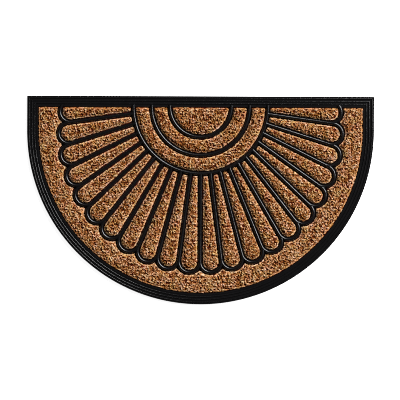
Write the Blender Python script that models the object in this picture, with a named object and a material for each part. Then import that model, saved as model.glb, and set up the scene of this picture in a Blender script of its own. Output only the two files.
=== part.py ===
"""Half-round doormat: a moulded rubber tray whose ribs draw a fan, with coir pile set into its pockets.

The mat lies on the plane z = 0, with its straight edge towards +Y and its round side towards -Y.
The origin is under the middle of its box. Sizes are in metres and angles in radians.
Angles in the plan run clockwise from +X, so a quarter turn points to -Y, and ribs and petals are
counted the same way: rib 0 is the middle one, and positive numbers lie to its left.
"""
import math
from collections.abc import Callable
from dataclasses import dataclass
from functools import partial

import bmesh
import bpy
from mathutils import Vector

# Outline of the mat: a half disc with a short straight-sided strip along its diameter
MAT_WIDTH = 0.762
STRAIGHT_SIDE = 0.0762
EDGE_RADIUS = MAT_WIDTH / 2
TOP_EDGE_Y = (EDGE_RADIUS + STRAIGHT_SIDE) / 2
ARC_CENTRE = Vector((0.0, TOP_EDGE_Y - STRAIGHT_SIDE))

# Border, from the outer edge inwards: a sloping edge, three beads and a flat inner band
BORDER_WIDTH = 0.0242
OUTER_EDGE_TOP = 0.0042
BEAD_COUNT = 3
FIRST_BEAD = 0.0046
BEAD_PITCH = 0.0060
BEAD_HALF_CREST = 0.0010
BEAD_TOP = 0.0075
GROOVE_TOP = 0.0058
BAND_START = 0.0204
BAND_TOP = 0.0066
BAND_EDGE_LEAN = 0.0005

# Three half rings, around a point on the border's inner band
RING_CENTRE = Vector((0.0, TOP_EDGE_Y - 0.0223))
RING_RADII = (0.0676, 0.1075, 0.1478)

# The fan: straight ribs from the outer ring to a row of round caps, which touch the tip circle
RIBS_EACH_SIDE = 10
RIB_PITCH_AT_RING = math.radians(8.36)
RIB_PITCH_AT_TIPS = math.radians(9.35)
RIB_END_RADIUS = 0.2885
TIP_RADIUS = 0.3120

# A rib's half widths and heights above the floor, from its foot to its crown
POCKET_FLOOR = 0.0025
RIB_FOOT_SUNK = 0.0015
RIB_HALF_FOOT = 0.0040
RIB_HALF_SHOULDER = 0.0038
RIB_SHOULDER = 0.0074
RIB_HALF_CROWN = 0.0026
RIB_CROWN = 0.0090
RIB_RUN_ONTO_BORDER = 0.0047

# Coir pile: the gap that parts it from the rubber, which the facets narrow here and there to 0.0003 or
# a little more, and its rounded top edge
PILE_GAP = 0.00045
PILE_ROUNDING = 0.0016
PILE_SHOULDER = 0.0086
PILE_TOP = 0.0100

# How far a cutter runs past what it cuts
OVERRUN = 0.0008

# Number of straight steps in each kind of arc
BORDER_STEPS = 60
RING_STEPS = 32
PETAL_FOOT_STEPS = 2
CAP_STEPS = 10
SCALLOP_STEPS = 8

SMOOTH_ANGLE = math.radians(28)
HALF_TURN = math.pi
PATTERN_TOP_Y = TOP_EDGE_Y - BORDER_WIDTH
RIB_TOP_Y = PATTERN_TOP_Y + RIB_RUN_ONTO_BORDER
FIRST_PETAL = -RIBS_EACH_SIDE - 1
LAST_PETAL = RIBS_EACH_SIDE

# An outline is a closed row of points in the plan, and a level is one at its height. A pocket plan makes
# a pocket's outline from its inset, measured from the ribs' centre lines, and the y of its top edge
Outline = list[Vector]
Level = tuple[Outline, float]
PocketPlan = Callable[[float, float], Outline]


@dataclass(frozen=True)
class Circle:
    """A circle in the plan."""

    centre: Vector
    radius: float

    def at(self, angle: float) -> Vector:
        """The point at an angle."""
        return self.centre + self.radius * Vector((math.cos(angle), -math.sin(angle)))

    def angle_of(self, point: Vector) -> float:
        """The angle of a point, from a quarter turn short of +X to three quarters past it."""
        way = point - self.centre
        angle = math.atan2(-way.y, way.x)
        return angle if angle > -HALF_TURN / 2 else angle + 2 * HALF_TURN

    def right_angle_at(self, y: float) -> float:
        """The angle of the right-hand point with that y."""
        return math.asin((self.centre.y - y) / self.radius)

    def left_angle_at(self, y: float) -> float:
        """The angle of the left-hand point with that y."""
        return HALF_TURN - self.right_angle_at(y)

    def arc(self, start: float, end: float, steps: int) -> Outline:
        """Evenly spaced points from one angle to another, both ends included."""
        return [self.at(start + (end - start) * step / steps) for step in range(steps + 1)]


@dataclass(frozen=True)
class Line:
    """A straight line in the plan, from a point along a unit direction."""

    start: Vector
    direction: Vector

    @property
    def left(self) -> Vector:
        """The unit direction to the left of the line."""
        return Vector((-self.direction.y, self.direction.x))

    def shifted(self, distance: float) -> "Line":
        """The parallel line at a distance to the left."""
        return Line(self.start + self.left * distance, self.direction)

    def crossing(self, other: "Line") -> Vector:
        """The point where two lines cross."""
        along = (other.start - self.start).cross(other.direction) / self.direction.cross(other.direction)
        return self.start + self.direction * along

    def leaving(self, circle: Circle) -> Vector:
        """The point where the line, followed forwards, leaves a circle."""
        way = self.start - circle.centre
        half = way.dot(self.direction)
        inside = half * half - way.length_squared + circle.radius**2
        return self.start + self.direction * (math.sqrt(inside) - half)


def rib_line(number: int) -> Line:
    """The centre line of a straight rib, outwards from the outer ring."""
    quarter = HALF_TURN / 2
    inner = Circle(RING_CENTRE, RING_RADII[-1]).at(quarter + RIB_PITCH_AT_RING * number)
    outer = Circle(ARC_CENTRE, RIB_END_RADIUS).at(quarter + RIB_PITCH_AT_TIPS * number)
    return Line(inner, (outer - inner).normalized())


def cap_circle(number: int) -> Circle:
    """The circle that rounds the end of the petal between ribs number and number + 1.

    It touches both ribs' centre lines and, at its furthest point, the tip circle. Its centre is on the
    line that halves the angle between the ribs, at a distance from their crossing that solves
    a square equation.
    """
    one, other = rib_line(number), rib_line(number + 1)
    apex = one.crossing(other)
    middle = (one.direction + other.direction).normalized()
    spread = abs(middle.cross(one.direction))
    way = apex - ARC_CENTRE
    square = 1 - spread**2
    half_linear = way.dot(middle) + TIP_RADIUS * spread
    constant = way.length_squared - TIP_RADIUS**2
    distance = (math.sqrt(half_linear**2 - square * constant) - half_linear) / square
    return Circle(apex + middle * distance, distance * spread)


def mat_outline(inset: float) -> Outline:
    """The mat's outline moved inwards: right corner, round side, left corner."""
    top = TOP_EDGE_Y - inset
    side = EDGE_RADIUS - inset
    round_side = Circle(ARC_CENTRE, side).arc(0.0, HALF_TURN, BORDER_STEPS)
    return [Vector((side, top)), *round_side, Vector((-side, top))]


def half_disc_outline(inset: float, top: float) -> Outline:
    """The pocket inside the inner ring."""
    circle = Circle(RING_CENTRE, RING_RADII[0] - inset)
    return circle.arc(circle.right_angle_at(top), circle.left_angle_at(top), RING_STEPS)


def band_outline(number: int, inset: float, top: float) -> Outline:
    """The pocket between rings number and number + 1."""
    outer = Circle(RING_CENTRE, RING_RADII[number + 1] - inset)
    inner = Circle(RING_CENTRE, RING_RADII[number] + inset)
    outer_arc = outer.arc(outer.right_angle_at(top), outer.left_angle_at(top), RING_STEPS)
    return outer_arc + inner.arc(inner.left_angle_at(top), inner.right_angle_at(top), RING_STEPS)


def petal_outline(number: int, inset: float, top: float) -> Outline:
    """The pocket between ribs number and number + 1.

    The first and the last petal have one rib each, and the top edge ends them on their other side.
    """
    right_rib, left_rib = rib_line(number), rib_line(number + 1)
    cap = cap_circle(number)
    end = Circle(cap.centre, cap.radius - inset)
    foot = Circle(RING_CENTRE, RING_RADII[-1] + inset)
    if number == FIRST_PETAL:
        end_start, foot_stop = end.right_angle_at(top), foot.right_angle_at(top)
    else:
        end_start = end.angle_of(end.centre + right_rib.left)
        foot_stop = foot.angle_of(right_rib.shifted(-inset).leaving(foot))
    if number == LAST_PETAL:
        end_stop, foot_start = end.left_angle_at(top), foot.left_angle_at(top)
    else:
        end_stop = end.angle_of(end.centre - left_rib.left)
        foot_start = foot.angle_of(left_rib.shifted(inset).leaving(foot))
    return end.arc(end_start, end_stop, CAP_STEPS) + foot.arc(foot_start, foot_stop, PETAL_FOOT_STEPS)


def cusp(one: Circle, other: Circle) -> Vector:
    """The crossing of two neighbouring caps' circles that lies further from the middle of the mat."""
    way = other.centre - one.centre
    along = (way.length_squared + one.radius**2 - other.radius**2) / (2 * way.length)
    across = math.sqrt(one.radius**2 - along**2)
    chord = Line(one.centre, way.normalized())
    foot = chord.start + chord.direction * along
    crossings = (foot + chord.left * across, foot - chord.left * across)
    return max(crossings, key=lambda point: (point - ARC_CENTRE).length)


def scallops(outset: float, top: float) -> Outline:
    """The row of caps moved outwards, from its right end to its left end, both at the top edge."""
    caps = [cap_circle(number) for number in range(FIRST_PETAL, LAST_PETAL + 1)]
    circles = [Circle(cap.centre, cap.radius + outset) for cap in caps]
    starts = [circles[0].right_angle_at(top)]
    stops = []
    for circle, following in zip(circles, circles[1:]):
        meeting = cusp(circle, following)
        stops.append(circle.angle_of(meeting))
        starts.append(following.angle_of(meeting))
    stops.append(circles[-1].left_angle_at(top))
    points = [circles[0].at(starts[0])]
    for circle, start, stop in zip(circles, starts, stops):
        points += circle.arc(start, stop, SCALLOP_STEPS)[1:]
    return points


def field_outline(inset: float, top: float) -> Outline:
    """The pocket between the fan and the border, as far from the round edge as from the straight one."""
    return mat_outline(TOP_EDGE_Y - top) + scallops(inset, top)[::-1]


def add_loft(build: bmesh.types.BMesh, levels: list[Level]) -> None:
    """Add a closed body through unlike outlines of equal length, stacked upwards, with flat ends."""
    rings = [[build.verts.new((*point, height)) for point in outline] for outline, height in levels]
    for lower, upper in zip(rings, rings[1:]):
        for place in range(len(lower)):
            side = (lower[place - 1], lower[place], upper[place], upper[place - 1])
            build.faces.new(side)
    build.faces.new(rings[0])
    build.faces.new(rings[-1])


def make_object(name: str, bodies: list[list[Level]], collection: bpy.types.Collection) -> bpy.types.Object:
    """One object made of one or more closed bodies, each given by its levels."""
    build = bmesh.new()
    for levels in bodies:
        add_loft(build, levels)
    bmesh.ops.recalc_face_normals(build, faces=build.faces[:])
    mesh = bpy.data.meshes.new(name)
    build.to_mesh(mesh)
    build.free()
    mesh.shade_smooth()
    mesh.set_sharp_from_angle(angle=SMOOTH_ANGLE)
    made = bpy.data.objects.new(name, mesh)
    collection.objects.link(made)
    return made


def linear_colour(code: str) -> tuple[float, float, float, float]:
    """A hex colour as linear red, green, blue and full cover."""
    shares = [int(code[place : place + 2], 16) / 255 for place in (1, 3, 5)]
    linear = [share / 12.92 if share <= 0.04045 else ((share + 0.055) / 1.055) ** 2.4 for share in shares]
    return (*linear, 1.0)


def make_material(name: str, colour: str, roughness: float) -> bpy.types.Material:
    """A plain non-metal material."""
    material = bpy.data.materials.new(name)
    material.use_nodes = True
    shader = material.node_tree.nodes["Principled BSDF"]
    shader.inputs["Base Color"].default_value = linear_colour(colour)
    shader.inputs["Roughness"].default_value = roughness
    shader.inputs["Metallic"].default_value = 0.0
    return material


def border_levels() -> list[Level]:
    """The tray without its ribs: underside, outer edge, beads, inner band and the floor of the pockets."""
    profile = [(0.0, 0.0), (0.0, OUTER_EDGE_TOP)]
    for bead in range(BEAD_COUNT):
        crest = FIRST_BEAD + BEAD_PITCH * bead
        profile += [
            (crest - BEAD_HALF_CREST, BEAD_TOP),
            (crest + BEAD_HALF_CREST, BEAD_TOP),
            (crest + BEAD_PITCH / 2, GROOVE_TOP),
        ]
    profile += [
        (BAND_START, BAND_TOP),
        (BORDER_WIDTH - BAND_EDGE_LEAN, BAND_TOP),
        (BORDER_WIDTH, POCKET_FLOOR),
    ]
    return [(mat_outline(inset), height) for inset, height in profile]


def rib_block_levels() -> list[Level]:
    """The block that the ribs are cut from: the fan's outer shape, sunk a little into the base sheet."""
    profile = [
        (RIB_HALF_FOOT, POCKET_FLOOR - RIB_FOOT_SUNK),
        (RIB_HALF_SHOULDER, RIB_SHOULDER),
        (RIB_HALF_CROWN, RIB_CROWN),
    ]
    return [(scallops(half_width, RIB_TOP_Y), height) for half_width, height in profile]


def pocket_levels(plan: PocketPlan) -> list[Level]:
    """A cutter for one pocket, which runs past the rib block below and above, and widens at the crowns."""
    slope = (RIB_HALF_SHOULDER - RIB_HALF_CROWN) / (RIB_CROWN - RIB_SHOULDER)
    profile = [
        (RIB_HALF_FOOT, POCKET_FLOOR - RIB_FOOT_SUNK - OVERRUN),
        (RIB_HALF_SHOULDER, RIB_SHOULDER),
        (RIB_HALF_CROWN - slope * OVERRUN, RIB_CROWN + OVERRUN),
    ]
    return [(plan(half_width, RIB_TOP_Y + OVERRUN), height) for half_width, height in profile]


def pile_levels(plan: PocketPlan) -> list[Level]:
    """Coir pile in one pocket: upright sides, a rounded top edge and a level top."""
    profile = [
        (PILE_GAP, POCKET_FLOOR + PILE_GAP),
        (PILE_GAP, PILE_SHOULDER),
        (PILE_GAP + PILE_ROUNDING, PILE_TOP),
    ]
    return [(plan(RIB_HALF_FOOT + gap, PATTERN_TOP_Y - gap), height) for gap, height in profile]


def fan_plans() -> dict[str, PocketPlan]:
    """The name of each pile inside the rings and the fan, and the plan of its pocket."""
    plans: dict[str, PocketPlan] = {
        "coir_half_disc": half_disc_outline,
        "coir_band_inner": partial(band_outline, 0),
        "coir_band_outer": partial(band_outline, 1),
    }
    for count, number in enumerate(range(FIRST_PETAL, LAST_PETAL + 1), start=1):
        plans[f"coir_petal_{count:02}"] = partial(petal_outline, number)
    return plans


def add_boolean(target: bpy.types.Object, operation: str, other: bpy.types.Object) -> None:
    """Cut or join one object with another."""
    boolean = target.modifiers.new(other.name, "BOOLEAN")
    boolean.operation = operation
    boolean.solver = "EXACT"
    boolean.object = other


def new_collection(name: str) -> bpy.types.Collection:
    """A collection in the scene."""
    collection = bpy.data.collections.new(name)
    bpy.context.scene.collection.children.link(collection)
    return collection


def main() -> None:
    """Clear the scene and build the mat."""
    for leftover in list(bpy.data.objects):
        bpy.data.objects.remove(leftover, do_unlink=True)
    mat = new_collection("half_round_doormat")
    helpers = new_collection("doormat_cutters")
    rubber = make_material("moulded_rubber", "#1B1A1C", roughness=0.55)
    coir = make_material("coir_pile", "#90603B", roughness=0.95)

    plans = fan_plans()
    pockets = [pocket_levels(plan) for plan in plans.values()]
    pocket_cutter = make_object("pocket_cutter", pockets, helpers)
    rib_block = make_object("rib_block", [rib_block_levels()], helpers)
    add_boolean(rib_block, "DIFFERENCE", pocket_cutter)
    for helper in (pocket_cutter, rib_block):
        helper.hide_render = True
        helper.display_type = "WIRE"

    tray = make_object("rubber_tray", [border_levels()], mat)
    add_boolean(tray, "UNION", rib_block)
    tray.data.materials.append(rubber)

    plans["coir_field"] = field_outline
    for name, plan in plans.items():
        pile = make_object(name, [pile_levels(plan)], mat)
        pile.data.materials.append(coir)


main()
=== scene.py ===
"""Dresses the half-round doormat: a moulded black rubber tray, with matted coir pile in its pockets.

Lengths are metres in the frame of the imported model, where the mat lies on z = 0 with its straight edge
towards +Y. Angles in the plan run clockwise from +X, so a quarter turn points to -Y. Only the coir's
headings and the light's bearing run anticlockwise. Ribs and petals are counted clockwise too: rib 0 is
the middle one, and positive numbers lie to its left as the camera sees it.
"""

import logging
import math
from collections.abc import Callable
from dataclasses import dataclass, field
from enum import Enum
from functools import partial
from typing import NamedTuple

import bmesh
import bpy
import numpy as np
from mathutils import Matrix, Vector, noise
from mathutils.geometry import delaunay_2d_cdt


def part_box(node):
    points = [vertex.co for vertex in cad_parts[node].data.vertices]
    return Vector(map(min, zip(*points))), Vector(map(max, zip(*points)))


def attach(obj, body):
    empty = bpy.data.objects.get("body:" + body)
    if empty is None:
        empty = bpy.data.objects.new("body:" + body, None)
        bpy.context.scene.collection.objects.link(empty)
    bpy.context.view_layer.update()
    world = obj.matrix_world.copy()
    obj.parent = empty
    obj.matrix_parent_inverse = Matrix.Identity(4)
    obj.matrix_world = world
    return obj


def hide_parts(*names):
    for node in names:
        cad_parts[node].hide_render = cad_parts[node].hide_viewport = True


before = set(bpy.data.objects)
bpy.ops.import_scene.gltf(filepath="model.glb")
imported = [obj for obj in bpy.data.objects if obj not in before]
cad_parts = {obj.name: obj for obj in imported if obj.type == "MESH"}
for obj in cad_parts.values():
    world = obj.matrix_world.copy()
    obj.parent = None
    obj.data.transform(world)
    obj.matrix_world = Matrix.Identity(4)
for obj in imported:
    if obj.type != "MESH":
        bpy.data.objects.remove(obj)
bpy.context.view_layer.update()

MM = 0.001
BODY = "root"
TRAY_NODE = "rubber_tray"
FIELD_NODE = "coir_field"
TONE, WARMTH = "coir_tone", "coir_warmth"
PALETTE_MAP = "OFBake"
# How much darker than the field the pile of each other pocket is, in tone. The fan's petals are alike
POCKET_SHADE = {"coir_half_disc": 0.05, "coir_band_inner": 0.08, "coir_band_outer": 0.055, FIELD_NODE: 0.0}
FAN_SHADE = 0.03
# The numbers of a Mix node's colour sockets, which share their names with its plain number sockets
MIX_FIRST, MIX_SECOND, MIX_RESULT = 6, 7, 2
# An outline is filled with triangles inside it only, and corners this close together are one
INSIDE_ONLY = 1
MERGE_DISTANCE = 1e-7
log = logging.getLogger("doormat")

# An outline is a row of points in the plan, and a level is one at its height. A pocket plan makes a
# pocket's outline from its inset, measured from the ribs' centre lines, and the y of its top edge
Outline = list[Vector]
Level = tuple[Outline, float]
PocketPlan = Callable[[float, float], Outline]
# A profile is a row of insets or half widths, each with its height
Profile = tuple[tuple[float, float], ...]


def in_millimetres(*pairs: tuple[float, float]) -> Profile:
    """A profile from its sizes in millimetres."""
    return tuple((across * MM, height * MM) for across, height in pairs)


class Slot(Enum):
    """The record's material slots."""

    RUBBER = "rubber"
    COIR = "coir"


class Held(Enum):
    """How a sheet is held."""

    LAID = "laid"


@dataclass(frozen=True)
class Circle:
    """A circle in the plan."""

    centre: Vector
    radius: float

    def at(self, angle: float) -> Vector:
        """The point at an angle."""
        return self.centre + self.radius * Vector((math.cos(angle), -math.sin(angle)))

    def angle_of(self, point: Vector) -> float:
        """Measures the angle of a point.

        Args:
            point: Any point but the centre.

        Returns:
            The angle, from a quarter turn short of +X to three quarters past it.
        """
        way = point - self.centre
        angle = math.atan2(-way.y, way.x)
        return angle if angle > -math.pi / 2 else angle + 2 * math.pi

    def right_angle_at(self, y: float) -> float:
        """The angle of the right-hand point with that y."""
        return math.asin((self.centre.y - y) / self.radius)

    def left_angle_at(self, y: float) -> float:
        """The angle of the left-hand point with that y."""
        return math.pi - self.right_angle_at(y)

    def below(self, y: float, steps: int) -> Outline:
        """The arc under a level, from its right-hand end to its left-hand one."""
        return self.arc(self.right_angle_at(y), self.left_angle_at(y), steps)

    def arc(self, start: float, end: float, steps: int) -> Outline:
        """Evenly spaced points from one angle to another, one more than the straight steps between."""
        return [self.at(start + (end - start) * step / steps) for step in range(steps + 1)]


@dataclass(frozen=True)
class Line:
    """A straight line in the plan, from a point along a unit direction."""

    start: Vector
    direction: Vector

    @property
    def left(self) -> Vector:
        """The unit direction to the left of the line."""
        return Vector((-self.direction.y, self.direction.x))

    def shifted(self, distance: float) -> "Line":
        """The parallel line at a distance to the left."""
        return Line(self.start + self.left * distance, self.direction)

    def crossing(self, other: "Line") -> Vector:
        """The point where two lines cross."""
        along = (other.start - self.start).cross(other.direction) / self.direction.cross(other.direction)
        return self.start + self.direction * along

    def leaving(self, circle: Circle) -> Vector:
        """The point where the line, followed forwards, leaves a circle.

        Args:
            circle: A circle that the line's start is near or inside.

        Returns:
            The point on the circle.
        """
        way = self.start - circle.centre
        half = way.dot(self.direction)
        inside = half * half - way.length_squared + circle.radius**2
        return self.start + self.direction * (math.sqrt(inside) - half)


@dataclass(frozen=True)
class Fineness:
    """Number of straight steps in each kind of arc."""

    border: int = 180
    ring: int = 96
    petal_foot: int = 4
    cap: int = 20
    scallop: int = 16


@dataclass(frozen=True)
class MatPlan:
    """The mat seen from above: its outline, three half rings, straight ribs and round caps."""

    half_width: float
    top_edge: float
    straight_side: float = 76.2 * MM
    border: float = 24.2 * MM
    ring_centre_inset: float = 22.3 * MM
    ring_radii: tuple[float, float, float] = (67.6 * MM, 107.5 * MM, 147.8 * MM)
    ribs_each_side: int = 10
    pitch_at_ring: float = math.radians(8.36)
    pitch_at_tips: float = math.radians(9.35)
    rib_end_radius: float = 288.5 * MM
    tip_radius: float = 312.0 * MM
    rib_run_onto_border: float = 4.7 * MM
    steps: Fineness = field(default_factory=Fineness)

    @property
    def arc_centre(self) -> Vector:
        """The centre of the round side."""
        return Vector((0.0, self.top_edge - self.straight_side))

    @property
    def ring_centre(self) -> Vector:
        """The centre of the three half rings."""
        return Vector((0.0, self.top_edge - self.ring_centre_inset))

    @property
    def pattern_top(self) -> float:
        """The y of the straight inner edge of the border."""
        return self.top_edge - self.border

    @property
    def rib_top(self) -> float:
        """The y where the ribs end on the border."""
        return self.pattern_top + self.rib_run_onto_border

    @property
    def petals(self) -> range:
        """The petals, each named by the rib on its right."""
        return range(-self.ribs_each_side - 1, self.ribs_each_side + 1)

    @property
    def area(self) -> float:
        """The area of the mat's outline: half a disc and the strip above it."""
        return math.pi * self.half_width**2 / 2 + 2 * self.half_width * self.straight_side

    def rib_line(self, number: int) -> Line:
        """Draws the centre line of a straight rib.

        Args:
            number: The rib's number.

        Returns:
            The line, outwards from the outer ring.
        """
        quarter = math.pi / 2
        inner = Circle(self.ring_centre, self.ring_radii[-1]).at(quarter + self.pitch_at_ring * number)
        outer = Circle(self.arc_centre, self.rib_end_radius).at(quarter + self.pitch_at_tips * number)
        return Line(inner, (outer - inner).normalized())

    def cap_circle(self, number: int) -> Circle:
        """The circle that rounds the end of a petal.

        It touches the centre lines of ribs number and number + 1 and, at its furthest point, the tip
        circle. Its centre is on the line that halves the angle between the ribs, at a distance from
        their crossing that solves a square equation.

        Args:
            number: The petal's number.

        Returns:
            The circle along the middle of the cap.
        """
        one, other = self.rib_line(number), self.rib_line(number + 1)
        apex = one.crossing(other)
        middle = (one.direction + other.direction).normalized()
        spread = abs(middle.cross(one.direction))
        way = apex - self.arc_centre
        square = 1 - spread**2
        half_linear = way.dot(middle) + self.tip_radius * spread
        constant = way.length_squared - self.tip_radius**2
        distance = (math.sqrt(half_linear**2 - square * constant) - half_linear) / square
        return Circle(apex + middle * distance, distance * spread)

    def outline(self, inset: float) -> Outline:
        """Moves the mat's outline inwards.

        Args:
            inset: Distance from the mat's edge.

        Returns:
            The right corner, the round side and the left corner.
        """
        top = self.top_edge - inset
        side = self.half_width - inset
        round_side = Circle(self.arc_centre, side).arc(0.0, math.pi, self.steps.border)
        return [Vector((side, top)), *round_side, Vector((-side, top))]

    def half_disc(self, inset: float, top: float) -> Outline:
        """The pocket inside the inner ring."""
        return Circle(self.ring_centre, self.ring_radii[0] - inset).below(top, self.steps.ring)

    def band(self, number: int, inset: float, top: float) -> Outline:
        """The pocket between two rings.

        Args:
            number: The inner of the two rings, counted from the middle.
            inset: Distance from the rings' centre lines.
            top: The y of the top edge.

        Returns:
            The outer arc, from right to left, and then the inner one, from left to right.
        """
        outer = Circle(self.ring_centre, self.ring_radii[number + 1] - inset)
        inner = Circle(self.ring_centre, self.ring_radii[number] + inset)
        inner_arc = inner.arc(inner.left_angle_at(top), inner.right_angle_at(top), self.steps.ring)
        return outer.below(top, self.steps.ring) + inner_arc

    def petal(self, number: int, inset: float, top: float) -> Outline:
        """The pocket between ribs number and number + 1.

        The first and the last petal have one rib each, and the top edge ends them on their other side.

        Args:
            number: The petal's number.
            inset: Distance from the ribs' centre lines.
            top: The y of the top edge.

        Returns:
            The round end and then the foot at the outer ring.
        """
        right_rib, left_rib = self.rib_line(number), self.rib_line(number + 1)
        cap = self.cap_circle(number)
        end = Circle(cap.centre, cap.radius - inset)
        foot = Circle(self.ring_centre, self.ring_radii[-1] + inset)
        if number == self.petals[0]:
            end_start, foot_stop = end.right_angle_at(top), foot.right_angle_at(top)
        else:
            end_start = end.angle_of(end.centre + right_rib.left)
            foot_stop = foot.angle_of(right_rib.shifted(-inset).leaving(foot))
        if number == self.petals[-1]:
            end_stop, foot_start = end.left_angle_at(top), foot.left_angle_at(top)
        else:
            end_stop = end.angle_of(end.centre - left_rib.left)
            foot_start = foot.angle_of(left_rib.shifted(inset).leaving(foot))
        round_end = end.arc(end_start, end_stop, self.steps.cap)
        return round_end + foot.arc(foot_start, foot_stop, self.steps.petal_foot)

    def cusp(self, one: Circle, other: Circle) -> Vector:
        """The crossing of two neighbouring caps' circles that lies further from the middle of the mat.

        Args:
            one: The right-hand circle.
            other: The left-hand circle.

        Returns:
            The point where both meet.
        """
        way = other.centre - one.centre
        along = (way.length_squared + one.radius**2 - other.radius**2) / (2 * way.length)
        across = math.sqrt(one.radius**2 - along**2)
        chord = Line(one.centre, way.normalized())
        foot = chord.start + chord.direction * along
        crossings = (foot + chord.left * across, foot - chord.left * across)
        return max(crossings, key=lambda point: (point - self.arc_centre).length)

    def scallops(self, outset: float, top: float) -> Outline:
        """The row of caps moved outwards, from its right end to its left end.

        Args:
            outset: Distance from the caps' centre lines.
            top: The y of both ends.

        Returns:
            The points along the scalloped edge.
        """
        caps = [self.cap_circle(number) for number in self.petals]
        circles = [Circle(cap.centre, cap.radius + outset) for cap in caps]
        starts = [circles[0].right_angle_at(top)]
        stops = []
        for circle, following in zip(circles, circles[1:]):
            meeting = self.cusp(circle, following)
            stops.append(circle.angle_of(meeting))
            starts.append(following.angle_of(meeting))
        stops.append(circles[-1].left_angle_at(top))
        points = [circles[0].at(starts[0])]
        for circle, start, stop in zip(circles, starts, stops):
            points += circle.arc(start, stop, self.steps.scallop)[1:]
        return points

    def open_field(self, inset: float, top: float) -> Outline:
        """The pocket between the fan and the border, as far from its round side as from its top edge."""
        return self.outline(self.top_edge - top) + self.scallops(inset, top)[::-1]

    def fan_pockets(self) -> dict[str, PocketPlan]:
        """Lists the pockets inside the rings and the fan.

        Returns:
            The node in each pocket, with the plan of its pocket.
        """
        plans: dict[str, PocketPlan] = {
            "coir_half_disc": self.half_disc,
            "coir_band_inner": partial(self.band, 0),
            "coir_band_outer": partial(self.band, 1),
        }
        for count, number in enumerate(self.petals, start=1):
            plans[f"coir_petal_{count:02}"] = partial(self.petal, number)
        return plans


def to_array(outline: Outline) -> np.ndarray:
    """The corners of an outline, one a row."""
    return np.array([tuple(point) for point in outline])


def new_object(name: str, data: bpy.types.ID) -> bpy.types.Object:
    """Makes an object and links it to the scene.

    Args:
        name: Name of the object.
        data: Its mesh, light or camera.

    Returns:
        The object.
    """
    made = bpy.data.objects.new(name, data)
    bpy.context.scene.collection.objects.link(made)
    return made


def add_loft(build: bmesh.types.BMesh, levels: list[Level]) -> None:
    """Adds a closed body through outlines with as many points each, stacked upwards, with flat ends.

    Args:
        build: The mesh under construction.
        levels: The outlines and their heights, lowest first.
    """
    rings = [[build.verts.new((*point, height)) for point in outline] for outline, height in levels]
    for lower, upper in zip(rings, rings[1:]):
        for place in range(len(lower)):
            build.faces.new((lower[place - 1], lower[place], upper[place], upper[place - 1]))
    build.faces.new(rings[0])
    build.faces.new(rings[-1])


def loft_object(name: str, bodies: list[list[Level]]) -> bpy.types.Object:
    """Makes one object of one or more closed lofted bodies.

    Args:
        name: Name of the object and its mesh.
        bodies: The levels of each body.

    Returns:
        The object.
    """
    build = bmesh.new()
    for levels in bodies:
        add_loft(build, levels)
    bmesh.ops.recalc_face_normals(build, faces=build.faces[:])
    mesh = bpy.data.meshes.new(name)
    build.to_mesh(mesh)
    build.free()
    return new_object(name, mesh)


def apply_modifiers(made: bpy.types.Object) -> None:
    """Puts an object's evaluated mesh in the place of its own, and clears its modifiers.

    Args:
        made: The object.
    """
    evaluated = made.evaluated_get(bpy.context.evaluated_depsgraph_get())
    mesh = bpy.data.meshes.new_from_object(evaluated)
    made.modifiers.clear()
    made.data = mesh


def hex_to_linear(code: str) -> tuple[float, float, float, float]:
    """Turns an sRGB hex colour into linear values.

    Args:
        code: A colour such as #90603B.

    Returns:
        Linear red, green and blue, and full cover.
    """
    shares = [int(code[place : place + 2], 16) / 255 for place in (1, 3, 5)]
    linear = [((share + 0.055) / 1.055) ** 2.4 if share > 0.04045 else share / 12.92 for share in shares]
    return (*linear, 1.0)


def set_inputs(node: bpy.types.Node, inputs: dict[str | int, object]) -> None:
    """Gives a node's sockets their values and links.

    Args:
        node: The node.
        inputs: Values for its sockets by name or number. An output socket is linked.
    """
    for name, value in inputs.items():
        if isinstance(value, bpy.types.NodeSocket):
            node.id_data.links.new(value, node.inputs[name])
        else:
            node.inputs[name].default_value = value


def add_node(
    tree: bpy.types.NodeTree,
    kind: str,
    settings: dict[str, object] | None = None,
    inputs: dict[str | int, object] | None = None,
) -> bpy.types.Node:
    """Adds a shader node with its settings, values and links.

    Args:
        tree: The node tree.
        kind: The node's type name.
        settings: Attributes of the node itself.
        inputs: Values and links for its sockets.

    Returns:
        The node.
    """
    node = tree.nodes.new(kind)
    for name, value in (settings or {}).items():
        setattr(node, name, value)
    set_inputs(node, inputs or {})
    return node


def set_stops(ramp: bpy.types.ColorRamp, stops: tuple[tuple[float, str], ...]) -> None:
    """Gives a colour ramp its stops.

    Args:
        ramp: The ramp of a Color Ramp node.
        stops: Places from 0 to 1 and their hex colours.
    """
    while len(ramp.elements) < len(stops):
        ramp.elements.new(1.0)
    for element, (place, code) in zip(ramp.elements, stops):
        element.position = place
        element.color = hex_to_linear(code)


def new_material(name: str) -> tuple[bpy.types.Material, bpy.types.Node]:
    """Makes a node material.

    Args:
        name: The material's name.

    Returns:
        The material and its Principled shader.
    """
    material = bpy.data.materials.new(name)
    material.use_nodes = True
    return material, material.node_tree.nodes["Principled BSDF"]


class Grain(NamedTuple):
    """A noise pattern: the size of its coarsest marks, and how much finer detail they have."""

    size: float
    detail: float
    roughness: float


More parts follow.
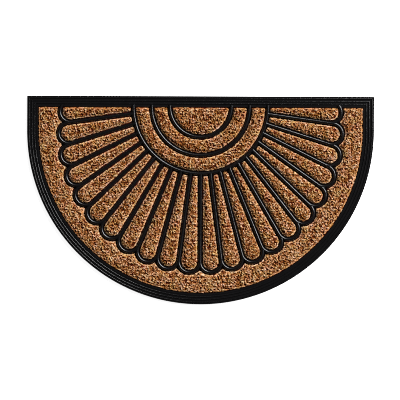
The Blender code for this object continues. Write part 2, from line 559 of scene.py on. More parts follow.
@dataclass(frozen=True)
class MouldedRubber:
    """Black recycled rubber, pressed hot in an etched steel mould.

    The etched mould leaves a satin skin: it reads as near black, and only the crowns that lean towards
    the light carry a soft grey line. A fine grain breaks that line up.
    """

    colour: str = "#040304"
    worn_colour: str = "#080709"
    colour_stops: tuple[float, float] = (0.35, 0.75)
    roughness: float = 0.30
    roughness_spread: float = 0.06
    ior: float = 1.52
    specular_level: float = 0.38
    mottle: Grain = Grain(14.0 * MM, detail=4.0, roughness=0.6)
    grain: Grain = Grain(1.1 * MM, detail=3.0, roughness=0.55)
    grain_depth: float = 0.05 * MM

    def material(self) -> bpy.types.Material:
        """Builds the material from two noises: a slow one for the colour and a fine one for the skin.

        Returns:
            The node material.
        """
        material, shader = new_material("rubber_black_moulded")
        tree = material.node_tree
        place = add_node(tree, "ShaderNodeTexCoord").outputs["Object"]
        # Handling and dust leave a faint cloudiness, at the scale of a finger tip. The etched grain is
        # finer in life, and is drawn at about a millimetre so that it shows
        mottle, grain = (
            add_node(
                tree,
                "ShaderNodeTexNoise",
                inputs={"Vector": place, "Scale": 1 / size, "Detail": detail, "Roughness": roughness},
            ).outputs["Fac"]
            for size, detail, roughness in (self.mottle, self.grain)
        )
        colour = add_node(tree, "ShaderNodeValToRGB", inputs={"Fac": mottle})
        set_stops(colour.color_ramp, tuple(zip(self.colour_stops, (self.colour, self.worn_colour))))
        roughness = add_node(
            tree,
            "ShaderNodeMapRange",
            inputs={
                "Value": grain,
                "To Min": self.roughness - self.roughness_spread,
                "To Max": self.roughness + self.roughness_spread,
            },
        )
        bump = add_node(
            tree,
            "ShaderNodeBump",
            inputs={"Strength": 1.0, "Distance": self.grain_depth, "Height": grain},
        )
        set_inputs(shader, {
            "Base Color": colour.outputs["Color"],
            "Roughness": roughness.outputs["Result"],
            "Normal": bump.outputs["Normal"],
            "IOR": self.ior,
            "Specular IOR Level": self.specular_level,
        })
        return material


@dataclass(frozen=True)
class MattedCoir:
    """Brown coir: the coarse fibre of the coconut husk, curled and matted.

    Each strand has its own tone and its own warmth, from rosy to straw. Both are kept on the mesh, so
    neighbouring strands differ as husk fibres do. The tone also holds painted shade: it is light where a
    strand rides on top and dark where it dips into the pile, and the pile reads as light curls over dark
    pits, whose darkness is partly real shadow and partly painted shade.
    """

    # The dark ends of both ramps are the painted shade of the deep strands and of the bed
    rosy: tuple[tuple[float, str], ...] = (
        (0.00, "#400000"),
        (0.22, "#5E2605"),
        (0.45, "#9B5A2B"),
        (0.75, "#C38D6A"),
        (1.00, "#DCB59E"),
    )
    straw: tuple[tuple[float, str], ...] = (
        (0.00, "#380200"),
        (0.22, "#582801"),
        (0.45, "#955C1F"),
        (0.75, "#BD935A"),
        (1.00, "#D7BB8E"),
    )
    roughness: tuple[float, float] = (0.90, 0.55)
    ior: float = 1.53
    specular_level: float = 0.10

    def material(self) -> bpy.types.Material:
        """Builds the material from the tone and the warmth that the mesh holds.

        Returns:
            The node material.
        """
        material, shader = new_material("coir_brown_matted")
        tree = material.node_tree
        tone = add_node(tree, "ShaderNodeAttribute", {"attribute_name": TONE}).outputs["Fac"]
        warmth = add_node(tree, "ShaderNodeAttribute", {"attribute_name": WARMTH}).outputs["Fac"]
        colour = add_node(tree, "ShaderNodeMix", {"data_type": "RGBA"}, {"Factor": warmth})
        for socket, stops in ((MIX_FIRST, self.rosy), (MIX_SECOND, self.straw)):
            ramp = add_node(tree, "ShaderNodeValToRGB", inputs={"Fac": tone})
            set_stops(ramp.color_ramp, stops)
            set_inputs(colour, {socket: ramp.outputs["Color"]})
        # The light upper stretches are worn a little smoother than the dark ones below
        roughness = add_node(
            tree,
            "ShaderNodeMapRange",
            inputs={"Value": tone, "To Min": self.roughness[0], "To Max": self.roughness[1]},
        )
        set_inputs(shader, {
            "Base Color": colour.outputs[MIX_RESULT],
            "Roughness": roughness.outputs["Result"],
            "IOR": self.ior,
            "Specular IOR Level": self.specular_level,
        })
        return material


@dataclass(frozen=True)
class StudioPaper:
    """White background paper, uncoated and matt.

    It has no shine, and a glow of its own keeps the ground even and nearly white.
    """

    colour: str = "#FBFBFB"
    roughness: float = 0.95
    glow: float = 0.90

    def material(self) -> bpy.types.Material:
        """Builds the plain material of the ground.

        Returns:
            The material.
        """
        material, shader = new_material("paper_white_matt")
        set_inputs(shader, {
            "Base Color": hex_to_linear(self.colour),
            "Roughness": self.roughness,
            "Specular IOR Level": 0.0,
            "Emission Color": hex_to_linear(self.colour),
            "Emission Strength": self.glow,
        })
        return material


@dataclass
class RubberTray:
    """The one moulding: base sheet, border with three round beads and a flat inner band, and ribs."""

    plan: MatPlan
    # Insets from the mat's outline and heights, up the outer edge
    edge_profile: Profile = in_millimetres((0.0, 0.0), (0.0, 5.5), (0.1, 5.8), (0.6, 5.8))
    bead_count: int = 3
    first_bead: float = 4.6 * MM
    bead_pitch: float = 6.0 * MM
    bead_half_foot: float = 0.95 * MM
    bead_top: float = 7.5 * MM
    bead_round: float = 1.1 * MM
    bead_flank: float = math.radians(40)
    bead_steps: int = 12
    groove_top: float = 5.7 * MM
    # The same, over the flat inner band and down to the pockets' floor
    band_profile: Profile = in_millimetres(
        (20.3, 5.7), (20.5, 6.6), (23.5, 6.6), (23.8, 6.3), (23.9, 5.9), (24.2, 2.5)
    )
    # Half width and height of a rib, from its sunk foot to its rounded crown
    rib_profile: Profile = in_millimetres(
        (4.0, 1.0), (3.4, 5.6), (3.2, 6.4), (2.95, 7.05), (2.65, 7.58),
        (2.3, 7.98), (1.85, 8.34), (1.3, 8.67), (0.8, 8.92),
    )
    overrun: float = 0.8 * MM
    smooth_angle: float = math.radians(40)

    def border_profile(self) -> Profile:
        """Works out the border's section.

        Returns:
            Insets and heights, from the underside to the pockets' floor.
        """
        profile = [*self.edge_profile]
        for bead in range(self.bead_count):
            crest = self.first_bead + self.bead_pitch * bead
            profile.append((crest - self.bead_half_foot, self.groove_top))
            for step in range(self.bead_steps + 1):
                tilt = self.bead_flank * (2 * step / self.bead_steps - 1)
                fall = self.bead_round * (1 - math.cos(tilt))
                profile.append((crest + self.bead_round * math.sin(tilt), self.bead_top - fall))
            profile.append((crest + self.bead_half_foot, self.groove_top))
        return (*profile, *self.band_profile)

    def rib_levels(self) -> list[Level]:
        """The block that the ribs are cut from, with the fan's outer shape."""
        top = self.plan.rib_top
        return [(self.plan.scallops(half, top), height) for half, height in self.rib_profile]

    def pocket_levels(self, pocket: PocketPlan) -> list[Level]:
        """A cutter for one pocket.

        Args:
            pocket: The plan of the pocket.

        Returns:
            Levels that run past the rib block below and above.
        """
        top = self.plan.rib_top + self.overrun
        foot_half, foot_height = self.rib_profile[0]
        crown_half, crown_height = self.rib_profile[-1]
        profile = [
            (foot_half, foot_height - self.overrun),
            *self.rib_profile[1:],
            (crown_half, crown_height + self.overrun),
        ]
        return [(pocket(half, top), height) for half, height in profile]

    def build(self) -> bpy.types.Object:
        """Moulds the tray: cuts the pockets out of the rib block and joins the ribs to the border.

        Returns:
            The tray as one closed mesh.
        """
        pockets = self.plan.fan_pockets().values()
        cutter = loft_object("pocket_cutter", [self.pocket_levels(pocket) for pocket in pockets])
        ribs = loft_object("rib_block", [self.rib_levels()])
        levels = [(self.plan.outline(inset), height) for inset, height in self.border_profile()]
        tray = loft_object("tray_black_rubber", [levels])
        for target, operation, other in ((ribs, "DIFFERENCE", cutter), (tray, "UNION", ribs)):
            boolean = target.modifiers.new(other.name, "BOOLEAN")
            boolean.operation = operation
            boolean.solver = "MANIFOLD"
            boolean.object = other
            apply_modifiers(target)
        for helper in (cutter, ribs):
            bpy.data.objects.remove(helper, do_unlink=True)
        tray.data.shade_smooth()
        tray.data.set_sharp_from_angle(angle=self.smooth_angle)
        return tray

    def dress(self, tray: bpy.types.Object, finish: MouldedRubber) -> None:
        """Gives the tray its finish."""
        tray.data.materials.clear()
        tray.data.materials.append(finish.material())


def inside(points: np.ndarray, ring: np.ndarray) -> np.ndarray:
    """Tells which points lie inside a closed ring.

    Args:
        points: Any array of points in the plan, with x and y last.
        ring: The ring's corners.

    Returns:
        True or False for each point.
    """
    x, y = points[..., 0, None], points[..., 1, None]
    (ax, ay), (bx, by) = ring.T, np.roll(ring, -1, axis=0).T
    spans = (ay > y) != (by > y)
    rise = np.where(by == ay, 1.0, by - ay)
    crossing = ax + (y - ay) * (bx - ax) / rise
    return (spans & (x < crossing)).sum(-1) % 2 == 1


def cross_section(way: np.ndarray) -> tuple[np.ndarray, np.ndarray]:
    """Finds the two directions across lines that run more or less level.

    Args:
        way: Vectors along the lines, with x, y and z last.

    Returns:
        Unit vectors to the left of each, level, and upwards.
    """
    way = way / np.linalg.norm(way, axis=-1, keepdims=True)
    left = np.cross((0.0, 0.0, 1.0), way)
    left /= np.linalg.norm(left, axis=-1, keepdims=True)
    return left, np.cross(way, left)


def ring_distance(points: np.ndarray, ring: np.ndarray) -> np.ndarray:
    """Measures how far points lie from a closed ring.

    Args:
        points: Any array of points in the plan, with x and y last.
        ring: The ring's corners.

    Returns:
        The distance of each point from the nearest side.
    """
    side = np.roll(ring, -1, axis=0) - ring
    gap = points[..., None, :] - ring
    share = np.clip((gap * side).sum(-1) / (side * side).sum(-1), 0, 1)
    return np.linalg.norm(gap - share[..., None] * side, axis=-1).min(-1)


def fill_plan(ring: np.ndarray, inner: np.ndarray) -> np.ndarray:
    """Fills a closed ring with triangles.

    Args:
        ring: The ring's corners in the plan.
        inner: Further corners inside it.

    Returns:
        The triangles, which face up, over the ring's corners and then the inner ones.
    """
    count = len(ring)
    corners = [Vector(corner) for corner in np.concatenate([ring, inner])]
    sides = [(place, (place + 1) % count) for place in range(count)]
    _, _, faces, found, _, _ = delaunay_2d_cdt(corners, sides, [], INSIDE_ONLY, MERGE_DISTANCE)
    return np.array([[found[corner][0] for corner in face] for face in faces])


@dataclass(frozen=True)
class CoirBed:
    """The sizes of the dense felt under the locks, painted near black as shade in the pits: drawn in from
    the rubber, and lumpy on top.
    """

    lift: float = 0.5 * MM
    least_height: float = 3.4 * MM
    depth: float = 4.2 * MM
    insets: tuple[float, ...] = (4.7 * MM, 5.4 * MM, 6.6 * MM)
    grain: float = 2.2 * MM
    lump: float = 4.5 * MM
    lump_height: float = 0.8 * MM
    # The bed's tones are near black: painted shade in the pits between the locks
    tone: tuple[float, float] = (0.00, 0.06)
    warmth: tuple[float, float] = (0.20, 0.80)


@dataclass(frozen=True)
class CoirLock:
    """The sizes of a lock: strands that cling side by side along one curl.

    A single coir fibre is 0.1 to 0.5 mm thick. A strand here stands for a small tuft of them, and is
    drawn 1.2 to 1.7 mm thick so that the curls show. Most locks lie from the far left to the near
    right. Packing and slew are in strand radii, and the lay's spread, curl and wave in radians.
    """

    strands: int = 2
    sides: int = 3
    length: tuple[float, float] = (5.0 * MM, 11.0 * MM)
    radius: tuple[float, float] = (0.58 * MM, 0.86 * MM)
    taper: tuple[float, ...] = (1.0, 1.0)
    lay: float = math.radians(-45)
    lay_spread: float = 0.8
    curl: float = 1.3
    wave: float = 1.0
    shrink: tuple[float, ...] = (1.0, 1.0, 1.0, 1.0, 0.8, 0.6, 0.5)
    packing: float = 1.6
    stray: float = 0.15
    slew: float = 0.5
    dip: tuple[float, float] = (0.8 * MM, 2.4 * MM)
    tilt: float = 0.5 * MM
    rise: float = 0.12 * MM
    side_warmth: float = 0.006

    @property
    def stations(self) -> int:
        """The number of points along a strand: its rings and two tips."""
        return len(self.taper) + 2

    @property
    def triangles(self) -> np.ndarray:
        """Lists the triangles of one strand.

        Returns:
            Three points each, counted over the strand's rings and then its two tips.
        """
        rings = len(self.taper)
        first_tip, last_tip = self.sides * rings, self.sides * rings + 1
        last_ring = self.sides * (rings - 1)
        found = []
        for side in range(self.sides):
            following = (side + 1) % self.sides
            found.append((first_tip, following, side))
            found.append((last_tip, last_ring + side, last_ring + following))
            for low in range(0, last_ring, self.sides):
                high = low + self.sides
                found.append((low + side, low + following, high + following))
                found.append((low + side, high + following, high + side))
        return np.array(found)


@dataclass
class LockLines:
    """The middle lines of many locks, one a row: their points in the plan, top heights and tones."""

    path: np.ndarray
    height: np.ndarray
    tone: np.ndarray


@dataclass
class CoirMesh:
    """Points and triangles of coir, with the tone, the warmth and the pile's own slope at each point."""

    points: np.ndarray
    triangles: np.ndarray
    tone: np.ndarray
    warmth: np.ndarray
    facing: np.ndarray


def joined(parts: list[CoirMesh]) -> CoirMesh:
    """Joins meshes of coir in one.

    Args:
        parts: The meshes.

    Returns:
        All their points and triangles, with tones and warmths held between 0 and 1.
    """
    firsts = np.cumsum([0] + [len(part.points) for part in parts[:-1]])
    return CoirMesh(
        points=np.concatenate([part.points for part in parts]),
        triangles=np.concatenate([part.triangles + first for part, first in zip(parts, firsts)]),
        tone=np.clip(np.concatenate([part.tone for part in parts]), 0, 1),
        warmth=np.clip(np.concatenate([part.warmth for part in parts]), 0, 1),
        facing=np.concatenate([part.facing for part in parts]),
    )


@dataclass
class CoirPile:
    """The coir in one pocket: a bed painted dark as shade, curled locks over it in rows, and more along
    its edge.
    """

    node: str
    pocket: PocketPlan
    plan: MatPlan
    floor: float
    top: float
    seed: int
    shade: float
    bed: CoirBed = field(default_factory=CoirBed)
    lock: CoirLock = field(default_factory=CoirLock)
    jitter: float = 0.4
    rib_half_foot: float = 4.0 * MM
    edge_inset: float = 5.0 * MM
    edge_width: float = 9.5 * MM
    edge_fall: float = 6.3 * MM
    border_fall: float = 1.8 * MM
    border_blend: float = 5.0 * MM
    border_gap: float = 0.85
    rim_insets: tuple[float, ...] = (7.1 * MM, 8.0 * MM)
    rim_pitch: float = 5.5 * MM
    rim_stray: float = 0.4 * MM
    rim_sink: float = 1.0 * MM
    rim_arch: float = 0.3
    lock_inset: float = 7.4 * MM
    lock_pitch: float = 2.85 * MM
    relief: float = 3.2 * MM
    row_pitch: float = 6.6 * MM
    row_depth: float = 1.0 * MM
    row_sway: float = 4.0 * MM
    # Tones and warmths run from 0 to 1: from dark to light, and from rosy to straw
    top_tone: float = 0.98
    # The tone falls with depth in the pile: painted shade, which darkens the lower locks and the stretches
    # that dip
    painted_shade_fall: float = 0.215 / MM
    tone_spread: float = 0.08
    strand_spread: float = 0.09
    # Edge locks keep a light tone though they sit low, free of the painted depth shade, so that the lit
    # edge reads bright: painted light, less at the border than beside a rib
    rim_lit_tone: float = 0.90
    border_lit_tone: float = 0.70
    mean_warmth: float = 0.5
    warmth_spread: float = 0.15
    patch: float = 14.0 * MM
    patch_tone: float = 0.03
    patch_warmth: float = 0.80
    patch_shift: float = 7.0
    lean: float = 0.70
    facing_step: float = 0.1 * MM
    draw: np.random.Generator = field(init=False)

    def __post_init__(self) -> None:
        """Starts the pile's own row of random numbers."""
        self.draw = np.random.default_rng(self.seed)

    def ring(self, inset: float) -> np.ndarray:
        """The pocket's outline at a distance from the ribs' centre lines, drawn in less at the border."""
        gap = self.border_gap * (inset - self.rib_half_foot)
        return to_array(self.pocket(inset, self.plan.pattern_top - gap))

    def scattered(self, ring: np.ndarray, pitch: float) -> np.ndarray:
        """Scatters points over a ring, on a shifted and jittered grid.

        Args:
            ring: The outline that they stay in.
            pitch: Their mean distance.

        Returns:
            The points.
        """
        low, high = ring.min(0), ring.max(0)
        columns, rows = np.ceil((high - low) / pitch).astype(int) + 1
        grid = np.stack(np.meshgrid(np.arange(columns), np.arange(rows)), -1).reshape(-1, 2) * 1.0
        # Every second row is shifted by half a pitch
        grid[:, 0] += grid[:, 1] % 2 / 2
        grid += self.draw.uniform(-self.jitter, self.jitter, grid.shape)
        points = low + grid * pitch
        return points[inside(points, ring)]

    def bed_mesh(self) -> CoirMesh:
        """Builds the bed: a wall round the pocket, a flat underside and a lumpy top.

        Returns:
            The bed as one closed body.
        """
        bed = self.bed
        rings = [self.ring(inset) for inset in (bed.insets[0], *bed.insets)]
        count = len(rings[0])
        inner = self.scattered(self.ring(bed.insets[-1] + bed.grain / 2), bed.grain)
        # Each pile's lumps come from its own slice of the noise
        lumps = np.array([noise.noise(Vector((x, y, self.seed * MM)) / bed.lump) for x, y in inner])
        tops = [self.top - bed.depth - self.edge_drop(place) for place in (*rings, inner)]
        heights = [np.maximum(top, bed.least_height) for top in tops]
        heights[0][:] = self.floor + bed.lift
        heights[-1] += bed.lump_height * lumps
        points = [np.column_stack(pair) for pair in zip((*rings, inner), heights)]
        here = np.arange(count)
        before = np.roll(here, 1)
        triangles = [fill_plan(rings[0], np.empty((0, 2)))[:, ::-1]]
        for low in range(0, count * (len(rings) - 1), count):
            high = low + count
            triangles.append(np.column_stack([low + here, low + before, high + before]))
            triangles.append(np.column_stack([low + here, high + before, high + here]))
        triangles.append(fill_plan(rings[-1], inner) + count * (len(rings) - 1))
        points = np.concatenate(points)
        # The bed is painted near black: painted shade under the locks
        tone = self.draw.uniform(*bed.tone, len(points))
        warmth = self.draw.uniform(*bed.warmth, len(points))
        return CoirMesh(points, np.concatenate(triangles), tone, warmth, self.facing(points[:, :2]))

    def curled_lines(self) -> LockLines:
        """Lays locks all over the pocket. One that would leave it is drawn again, in the end shorter.

        Returns:
            The lines of the locks, each on a curl that stays inside the pocket.
        """
        lock = self.lock
        ring = self.ring(self.lock_inset)
        centres = self.scattered(ring, self.lock_pitch)
        along = np.linspace(-1, 1, lock.stations)
        kept = []
        for shrink in lock.shrink:
            count = len(centres)
            length = self.draw.uniform(*lock.length, (count, 1)) * shrink
            heading = self.draw.normal(lock.lay, lock.lay_spread, (count, 1))
            curl = self.draw.normal(0, lock.curl, (count, 1))
            wave = self.draw.normal(0, lock.wave, (count, 1))
            turn = heading + curl * along + wave * along**2
            middle = (turn[:, 1:] + turn[:, :-1]) / 2
            step = (length / (lock.stations - 1))[..., None]
            moves = np.stack([np.cos(middle), np.sin(middle)], -1) * step
            path = np.concatenate([np.zeros((count, 1, 2)), np.cumsum(moves, 1)], 1)
            path += centres[:, None] - path.mean(1, keepdims=True)
            fits = inside(path, ring).all(1)
            kept.append(path[fits])
            centres = centres[~fits]
        path = np.concatenate(kept)
        drop = self.relief * self.draw.uniform(0, 1, (len(path), 1))
        # Locks that lie lower are painted darker: painted shade
        tone = self.top_tone - self.painted_shade_fall * drop[:, 0]
        tone += self.draw.normal(0, self.tone_spread, len(path))
        return LockLines(path, self.top - drop - self.edge_drop(path), tone)

    def rim_lines(self, inset: float) -> LockLines:
        """Lays a row of locks along the pocket's edge.

        Args:
            inset: Distance from the ribs' centre lines.

        Returns:
            The locks' lines, which follow the edge round its bends.
        """
        lock = self.lock
        ring = self.ring(inset)
        closed = np.concatenate([ring, ring[:1]])
        reach = np.concatenate([[0.0], np.cumsum(np.linalg.norm(np.diff(closed, axis=0), axis=1))])
        count = math.ceil(reach[-1] / self.rim_pitch)
        start = (np.arange(count) + self.draw.uniform(0, 1, count)) * reach[-1] / count
        length = self.draw.uniform(*lock.length, count)
        place = (start[:, None] + length[:, None] * np.linspace(0, 1, lock.stations)) % reach[-1]
        path = np.stack([np.interp(place, reach, closed[:, axis]) for axis in (0, 1)], -1)
        path += self.draw.uniform(-self.rim_stray, self.rim_stray, (count, 1, 2))
        height = self.top - self.rim_sink - self.edge_drop(path)
        # Edge locks are painted light for the lit edge, less at the border than beside a rib: painted
        # light
        tone = self.border_lit_tone + (self.rim_lit_tone - self.border_lit_tone) * self.rib_share(path).mean(1)
        tone += self.draw.normal(0, self.tone_spread, count)
        return LockLines(path, height, tone)

    def rib_share(self, points: np.ndarray) -> np.ndarray:
        """Tells which points have a rib beside them, and which the border.

        Args:
            points: Any array of points in the plan, with x and y last.

        Returns:
            0 at the border, 1 away from it, and values between where a rib meets it.
        """
        border = to_array(self.plan.outline(self.plan.border))
        nearer = ring_distance(points, border) - ring_distance(points, self.ring(self.edge_inset))
        return np.clip(nearer / self.border_blend, 0, 1)

    def edge_drop(self, points: np.ndarray) -> np.ndarray:
        """Rounds the pile off towards its pocket's edge, less at the border than at the ribs.

        Args:
            points: Any array of points in the plan, with x and y last.

        Returns:
            How far the pile's top falls at each.
        """
        fall = self.border_fall + (self.edge_fall - self.border_fall) * self.rib_share(points)
        share = np.clip(1 - ring_distance(points, self.ring(self.edge_inset)) / self.edge_width, 0, 1)
        return fall * share**2

    def facing(self, points: np.ndarray) -> np.ndarray:
        """Finds which way the pile as a whole faces: upwards, and outwards near its edge.

        Args:
            points: Points in the plan, one a row.

        Returns:
            A unit vector for each.
        """
        here = self.edge_drop(points)
        moved = [self.edge_drop(points + step) for step in self.facing_step * np.eye(2)]
        falls = [(drop - here) / self.facing_step for drop in moved]
        slope = np.column_stack([*falls, np.ones(len(points))])
        return slope / np.linalg.norm(slope, axis=1, keepdims=True)

    def strand_lines(
        self, lines: LockLines, arch: float, sway: np.ndarray
    ) -> tuple[np.ndarray, np.ndarray]:
        """Lays the strands of each lock side by side, arched, in rows that wander a little.

        Args:
            lines: The locks' middle lines.
            arch: How far the locks' ends dip, as a share of their full dip.
            sway: How far the rows are shifted at each lock.

        Returns:
            The strands' middle points, by lock, strand and station, and the strands' radii.
        """
        lock, draw = self.lock, self.draw
        count = len(lines.path)
        shape = (count, lock.strands)
        along = np.linspace(-1, 1, lock.stations)
        level = np.concatenate([lines.path, np.zeros((count, lock.stations, 1))], -1)
        left, _ = cross_section(np.gradient(level, axis=1))
        radius = draw.uniform(*lock.radius, shape)[..., None]
        offset = np.arange(lock.strands) - (lock.strands - 1) / 2 + draw.normal(0, lock.stray, shape)
        slew = draw.normal(0, lock.slew, shape)[..., None] * along
        shift = (offset[..., None] * lock.packing + slew) * radius
        line = level[:, None] + left[:, None] * shift[..., None]
        dip = arch * draw.uniform(*lock.dip, (count, 1, 1)) * along**2
        tilt = arch * draw.normal(0, lock.tilt, (count, 1, 1)) * along
        across = line[..., 1] + sway[:, None, None]
        groove = self.row_depth * (1 - np.cos(2 * math.pi * across / self.row_pitch)) / 2
        rise = draw.normal(0, lock.rise, shape)[..., None]
        height = lines.height[:, None] - dip - tilt - groove + rise
        line[..., 2] = np.clip(height, self.floor + 2 * radius, self.top) - radius
        return line, radius

    def strand_tubes(self, line: np.ndarray, radius: np.ndarray) -> np.ndarray:
        """Draws a tube with pointed ends round each strand's middle line.

        Args:
            line: The strands' middle points, by lock, strand and station.
            radius: The strands' radii.

        Returns:
            The tubes' points, by lock and strand: ring after ring, and the two tips last.
        """
        lock = self.lock
        shape = radius.shape[:2]
        left, up = cross_section(np.gradient(line, axis=2))
        side_turns = np.arange(lock.sides) * 2 * math.pi / lock.sides
        turns = self.draw.uniform(0, 2 * math.pi, (*shape, 1, 1)) + side_turns
        thick = radius[..., None] * np.array(lock.taper)[:, None]
        inner = slice(1, -1)
        rings = (
            line[:, :, inner, None]
            + (np.cos(turns) * thick)[..., None] * left[:, :, inner, None]
            + (np.sin(turns) * thick)[..., None] * up[:, :, inner, None]
        )
        tips = line[:, :, (0, -1)]
        return np.concatenate([rings.reshape(*shape, -1, 3), tips], 2)

    def strand_colours(
        self, lines: LockLines, depth: np.ndarray, patches: np.ndarray
    ) -> tuple[np.ndarray, np.ndarray]:
        """Works out the tone and the warmth of every point of the strands.

        Args:
            lines: The locks' middle lines.
            depth: How deep each strand lies under its lock's top, by lock, strand and station.
            patches: The slow changes of tone and of warmth, one lock a row.

        Returns:
            Tones and warmths, by lock, strand and point.
        """
        lock, draw = self.lock, self.draw
        shape = depth.shape[:2]
        inner = slice(1, -1)
        spread = draw.normal(0, self.strand_spread, shape)[..., None]
        tone = lines.tone[:, None, None] - self.shade + spread
        # Stretches that dip under their lock's top are painted darker as well: painted shade
        tone = tone - self.painted_shade_fall * depth + self.patch_tone * patches[:, 0, None, None]
        warmth = self.mean_warmth + self.patch_warmth * patches[:, 1, None]
        warmth = warmth + draw.normal(0, self.warmth_spread, shape)
        warmth = np.broadcast_to(warmth[..., None], depth.shape)
        around = lock.side_warmth * np.arange(lock.sides)
        ring_tone = np.repeat(tone[..., inner], lock.sides, axis=-1)
        ring_warmth = (warmth[..., inner, None] + around).reshape(*shape, -1)
        tone = np.concatenate([ring_tone, tone[..., (0, -1)]], -1)
        return tone, np.concatenate([ring_warmth, warmth[..., (0, -1)]], -1)

    def lock_mesh(self, lines: LockLines, arch: float) -> CoirMesh:
        """Builds the strands of locks along their middle lines.

        Args:
            lines: The locks' middle lines.
            arch: How far the locks' ends dip, as a share of their full dip.

        Returns:
            The strands: closed tubes with pointed ends.
        """
        centres = lines.path.mean(1)
        patches = np.array([self.patchiness(*centre) for centre in centres])
        line, radius = self.strand_lines(lines, arch, self.row_sway * patches[:, 0])
        points = self.strand_tubes(line, radius)
        depth = lines.height[:, None] - (line[..., 2] + radius)
        tone, warmth = self.strand_colours(lines, depth, patches)
        locks, strands, size, _ = points.shape
        first = np.arange(locks * strands)[:, None, None] * size
        triangles = (self.lock.triangles + first).reshape(-1, 3)
        facing = np.repeat(self.facing(centres), strands * size, axis=0)
        return CoirMesh(points.reshape(-1, 3), triangles, tone.ravel(), warmth.ravel(), facing)

    def patchiness(self, x: float, y: float) -> tuple[float, float]:
        """Slow changes of tone and of warmth over the mat, at a point."""
        place = Vector((x, y, 0)) / self.patch
        return noise.noise(place), noise.noise(place + Vector((0, 0, self.patch_shift)))

    def build(self) -> bpy.types.Object:
        """Joins the bed and the locks in one mesh.

        Returns:
            The pile, which carries the tone and the warmth of each point.
        """
        parts = [self.bed_mesh(), self.lock_mesh(self.curled_lines(), arch=1.0)]
        parts += [self.lock_mesh(self.rim_lines(inset), self.rim_arch) for inset in self.rim_insets]
        pile = joined(parts)
        mesh = bpy.data.meshes.new(self.node + "_pile")
        mesh.vertices.add(len(pile.points))
        mesh.vertices.foreach_set("co", pile.points.astype(np.float32).ravel())
        mesh.loops.add(pile.triangles.size)
        mesh.loops.foreach_set("vertex_index", pile.triangles.astype(np.int32).ravel())
        mesh.polygons.add(len(pile.triangles))
        mesh.polygons.foreach_set("loop_start", np.arange(0, pile.triangles.size, 3, dtype=np.int32))
        mesh.update(calc_edges=True)
        for name, value in ((TONE, pile.tone), (WARMTH, pile.warmth)):
            attribute = mesh.attributes.new(name, "FLOAT", "POINT")
            attribute.data.foreach_set("value", value.astype(np.float32))
        # Tone and warmth are also the two axes of a palette, on which the colours can be baked
        palette = mesh.uv_layers.new(name=PALETTE_MAP)
        corners = np.stack([pile.tone, pile.warmth], 1)[pile.triangles.ravel()]
        palette.uv.foreach_set("vector", corners.astype(np.float32).ravel())
        mesh.shade_smooth()
        # Light passes on from strand to strand, so each is lit a little as the pile around it is
        normals = np.empty(pile.points.size, dtype=np.float32)
        mesh.vertices.foreach_get("normal", normals)
        leaning = normals.reshape(-1, 3) + self.lean * pile.facing
        leaning /= np.linalg.norm(leaning, axis=1, keepdims=True)
        mesh.normals_split_custom_set_from_vertices(leaning.tolist())
        return new_object(self.node + "_pile", mesh)

    def dress(self, pile: bpy.types.Object, material: bpy.types.Material) -> None:
        """Gives the pile its finish."""
        pile.data.materials.append(material)


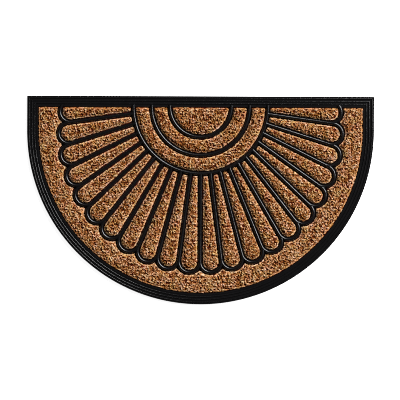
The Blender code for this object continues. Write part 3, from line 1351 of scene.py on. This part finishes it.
@dataclass
class Studio:
    """The floor, the lights and the camera straight above the mat."""

    floor_size: float = 12.0
    floor_drop: float = 0.2 * MM
    sky: float = 0.09
    sky_colour: str = "#FFFFFF"
    key_power: float = 4250.0
    key_size: tuple[float, float] = (11.0, 3.6)
    key_distance: float = 12.0
    key_bearing: float = math.radians(40)
    key_height: float = math.radians(31)
    lens: float = 200.0
    sensor: float = 36.0
    view_width: float = 0.8785
    view_plane: float = 6.0 * MM
    look_at: tuple[float, float] = (-0.6 * MM, 0.6 * MM)
    roll: float = math.radians(0.23)

    def add_floor(self, finish: StudioPaper) -> None:
        """Lays the pale floor just under the mat.

        Args:
            finish: The floor's finish.
        """
        bpy.ops.mesh.primitive_plane_add(size=self.floor_size, location=(0, 0, -self.floor_drop))
        floor = bpy.context.active_object
        floor.name = "studio_floor"
        floor.data.materials.append(finish.material())

    def add_lights(self) -> None:
        """Adds the pale surrounding light and one soft key light from the upper right."""
        world = bpy.data.worlds.new("studio_surround")
        bpy.context.scene.world = world
        world.use_nodes = True
        surround = world.node_tree.nodes["Background"]
        set_inputs(surround, {"Strength": self.sky, "Color": hex_to_linear(self.sky_colour)})
        lamp = bpy.data.lights.new("key_softbox", "AREA")
        lamp.shape = "RECTANGLE"
        lamp.size, lamp.size_y = self.key_size
        lamp.energy = self.key_power
        key = new_object("key_softbox", lamp)
        flat = math.cos(self.key_height)
        east, north = flat * math.cos(self.key_bearing), flat * math.sin(self.key_bearing)
        way = Vector((east, north, math.sin(self.key_height)))
        key.location = way * self.key_distance
        key.rotation_euler = way.to_track_quat("Z", "Y").to_euler()

    def add_camera(self) -> None:
        """Adds the camera, which looks straight down with the small turn that the picture has."""
        lens = bpy.data.cameras.new("camera")
        lens.lens = self.lens
        lens.sensor_width = self.sensor
        camera = new_object("camera", lens)
        distance = self.view_width * self.lens / self.sensor
        camera.location = (*self.look_at, self.view_plane + distance)
        camera.rotation_euler = (0.0, 0.0, self.roll)
        bpy.context.scene.camera = camera


def place(piece: bpy.types.Object, node: str, slot: Slot) -> None:
    """Puts a piece on the mat's one body, in the place of its solid.

    Args:
        piece: The finished piece.
        node: The solid that it stands for.
        slot: The record's slot of its finish. Not used.
    """
    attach(piece, BODY)
    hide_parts(node)


def main() -> None:
    """Builds and dresses the mat and its studio, and reports each piece."""
    logging.basicConfig(level=logging.INFO, format="%(name)s: %(message)s")
    bpy.context.scene.view_settings.view_transform = "Standard"
    # The strands are about a pixel wide in the picture: a denoiser or a wide filter would smear them
    bpy.context.scene.cycles.use_denoising = False
    bpy.context.scene.cycles.filter_width = 1.0
    studio = Studio()
    studio.add_floor(StudioPaper())
    studio.add_lights()
    studio.add_camera()

    low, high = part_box(TRAY_NODE)
    plan = MatPlan(half_width=(high.x - low.x) / 2, top_edge=high.y)
    tray_maker = RubberTray(plan)
    tray = tray_maker.build()
    tray_maker.dress(tray, MouldedRubber())
    place(tray, TRAY_NODE, Slot.RUBBER)
    log.info("%s: %d faces", tray.name, len(tray.data.polygons))

    coir = MattedCoir().material()
    pockets = plan.fan_pockets() | {FIELD_NODE: plan.open_field}
    for seed, (node, pocket) in enumerate(pockets.items(), start=1):
        floor, top = (corner.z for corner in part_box(node))
        pile_maker = CoirPile(node, pocket, plan, floor, top, seed, POCKET_SHADE.get(node, FAN_SHADE))
        pile = pile_maker.build()
        pile_maker.dress(pile, coir)
        place(pile, node, Slot.COIR)
        log.info("%s: %d faces", pile.name, len(pile.data.polygons))


if __name__ == "__main__":
    main()
